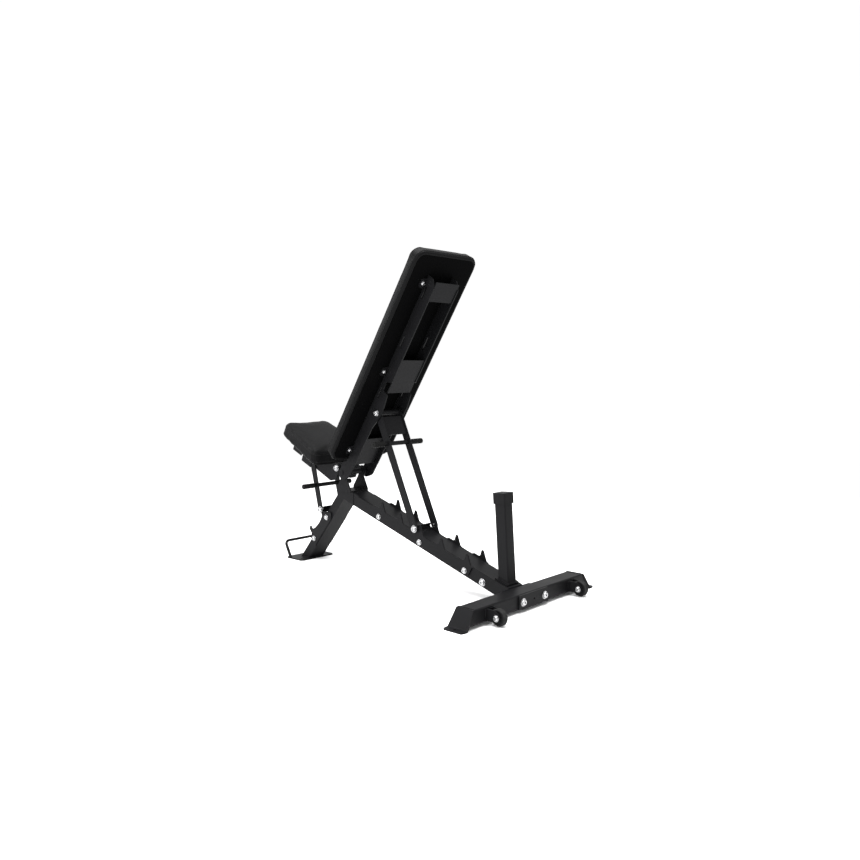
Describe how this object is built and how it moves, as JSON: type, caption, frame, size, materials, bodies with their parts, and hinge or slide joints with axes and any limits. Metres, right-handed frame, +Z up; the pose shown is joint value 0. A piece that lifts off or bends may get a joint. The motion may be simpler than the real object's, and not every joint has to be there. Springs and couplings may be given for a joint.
{
  "type": "adjustable weight bench",
  "caption": "Incline bench on a sloping beam: reclining back pad held by a prop in a hook ladder, tilting seat, storage post, lift handle and wheels.",
  "frame": {"origin": "on the ground, under the centre of the whole bench's box, with the back at its stored recline", "axes": "+Z up, -Y towards the seat end, +Y towards the wheels, +X the left side of a user who sits facing -Y"},
  "size_m": [0.6938, 1.2836, 1.1799],
  "materials": {
    "frame_black": "satin black powder coat",
    "pad_vinyl": "black vinyl, fine grain",
    "zinc_bolt": "bright zinc",
    "cap_plastic": "black moulded plastic",
    "wheel_plastic": "black moulded wheel with a grey tread",
    "board_wood": "plywood under black backing cloth"
  },
  "bodies": {
    "base": {"main_beam": "frame_black", "front_leg": "frame_black", "front_foot_plate": "frame_black", "lift_handle": "frame_black", "apex_bracket": "frame_black", "hinge_axle": "frame_black", "rear_cross_tube": "frame_black", "rear_foot_left": "frame_black", "rear_foot_right": "frame_black", "rear_joint_plate": "frame_black", "rear_joint_bolt_left": "zinc_bolt", "rear_joint_bolt_right": "zinc_bolt", "post_base_plate": "frame_black", "post_tube": "frame_black", "post_cap": "cap_plastic", "back_ladder_left": "frame_black", "back_ladder_right": "frame_black", "ladder_bolt_front": "zinc_bolt", "ladder_bolt_middle": "zinc_bolt", "ladder_bolt_rear": "zinc_bolt", "beam_bolt": "zinc_bolt", "seat_ladder_left": "frame_black", "seat_ladder_right": "frame_black", "seat_ladder_bolt_upper": "zinc_bolt", "seat_ladder_bolt_lower": "zinc_bolt", "wheel_bracket_left": "frame_black", "wheel_bracket_right": "frame_black", "wheel_axle_left": "zinc_bolt", "wheel_axle_right": "zinc_bolt"},
    "wheel_l": {"wheel_left": "wheel_plastic"},
    "wheel_r": {"wheel_right": "wheel_plastic"},
    "pivot_sleeve": {"back_pivot_sleeve": "frame_black"},
    "back": {"back_side_plate_left": "frame_black", "back_side_plate_right": "frame_black", "back_web_top": "frame_black", "back_web_middle": "frame_black", "back_web_bottom": "frame_black", "back_pad": "pad_vinyl", "back_board": "board_wood", "prop_pivot_bolt": "zinc_bolt"},
    "prop_sleeve": {"prop_pivot_sleeve": "frame_black"},
    "prop": {"prop_bar_left": "frame_black", "prop_bar_right": "frame_black", "prop_web": "frame_black", "prop_handle": "frame_black", "prop_pin_left": "zinc_bolt", "prop_pin_right": "zinc_bolt", "prop_saddle": "frame_black"},
    "seat": {"seat_pad": "pad_vinyl", "seat_board": "board_wood", "seat_side_plate_left": "frame_black", "seat_side_plate_right": "frame_black", "seat_hinge_bolt": "zinc_bolt", "seat_prop_pivot_bolt": "zinc_bolt"},
    "seat_prop": {"seat_prop_bar_left": "frame_black", "seat_prop_bar_right": "frame_black", "seat_prop_handle": "frame_black", "seat_prop_pin_left": "zinc_bolt", "seat_prop_pin_right": "zinc_bolt", "seat_prop_saddle": "frame_black"}
  },
  "joints": [
    {"name": "back_raise", "type": "hinge", "parent": "base", "child": "pivot_sleeve", "pos_m": [0, -0.28261, 0.37796], "axis": [1, 0, 0], "range_deg": [0, 34.3]},
    {"name": "back_lower", "type": "hinge", "parent": "pivot_sleeve", "child": "back", "pos_m": [0, -0.28261, 0.37796], "axis": [1, 0, 0], "range_deg": [-55.8, 0]},
    {"name": "prop_raise", "type": "hinge", "parent": "back", "child": "prop_sleeve", "pos_m": [0, -0.07888, 0.61191], "axis": [1, 0, 0], "range_deg": [-38.4, 0]},
    {"name": "prop_lower", "type": "hinge", "parent": "prop_sleeve", "child": "prop", "pos_m": [0, -0.07888, 0.61191], "axis": [1, 0, 0], "range_deg": [0, 90.5]},
    {"name": "seat_tilt", "type": "hinge", "parent": "base", "child": "seat", "pos_m": [0, -0.28261, 0.37796], "axis": [1, 0, 0], "range_deg": [0, 23.5]},
    {"name": "seat_prop_swing", "type": "hinge", "parent": "seat", "child": "seat_prop", "pos_m": [0, -0.4732, 0.41613], "axis": [1, 0, 0], "range_deg": [-43.6, 0]},
    {"name": "wheel_left_spin", "type": "hinge", "parent": "base", "child": "wheel_l", "pos_m": [0.215, 0.61539, 0.028], "axis": [1, 0, 0], "continuous": true},
    {"name": "wheel_right_spin", "type": "hinge", "parent": "base", "child": "wheel_r", "pos_m": [-0.215, 0.61539, 0.028], "axis": [1, 0, 0], "continuous": true}
  ],
  "couplings": [
    {"joint": "prop_raise", "follows": "back_raise", "ratio": -1.117},
    {"joint": "prop_lower", "follows": "back_lower", "ratio": -1.6183},
    {"joint": "seat_prop_swing", "follows": "seat_tilt", "ratio": -1.852}
  ]
}
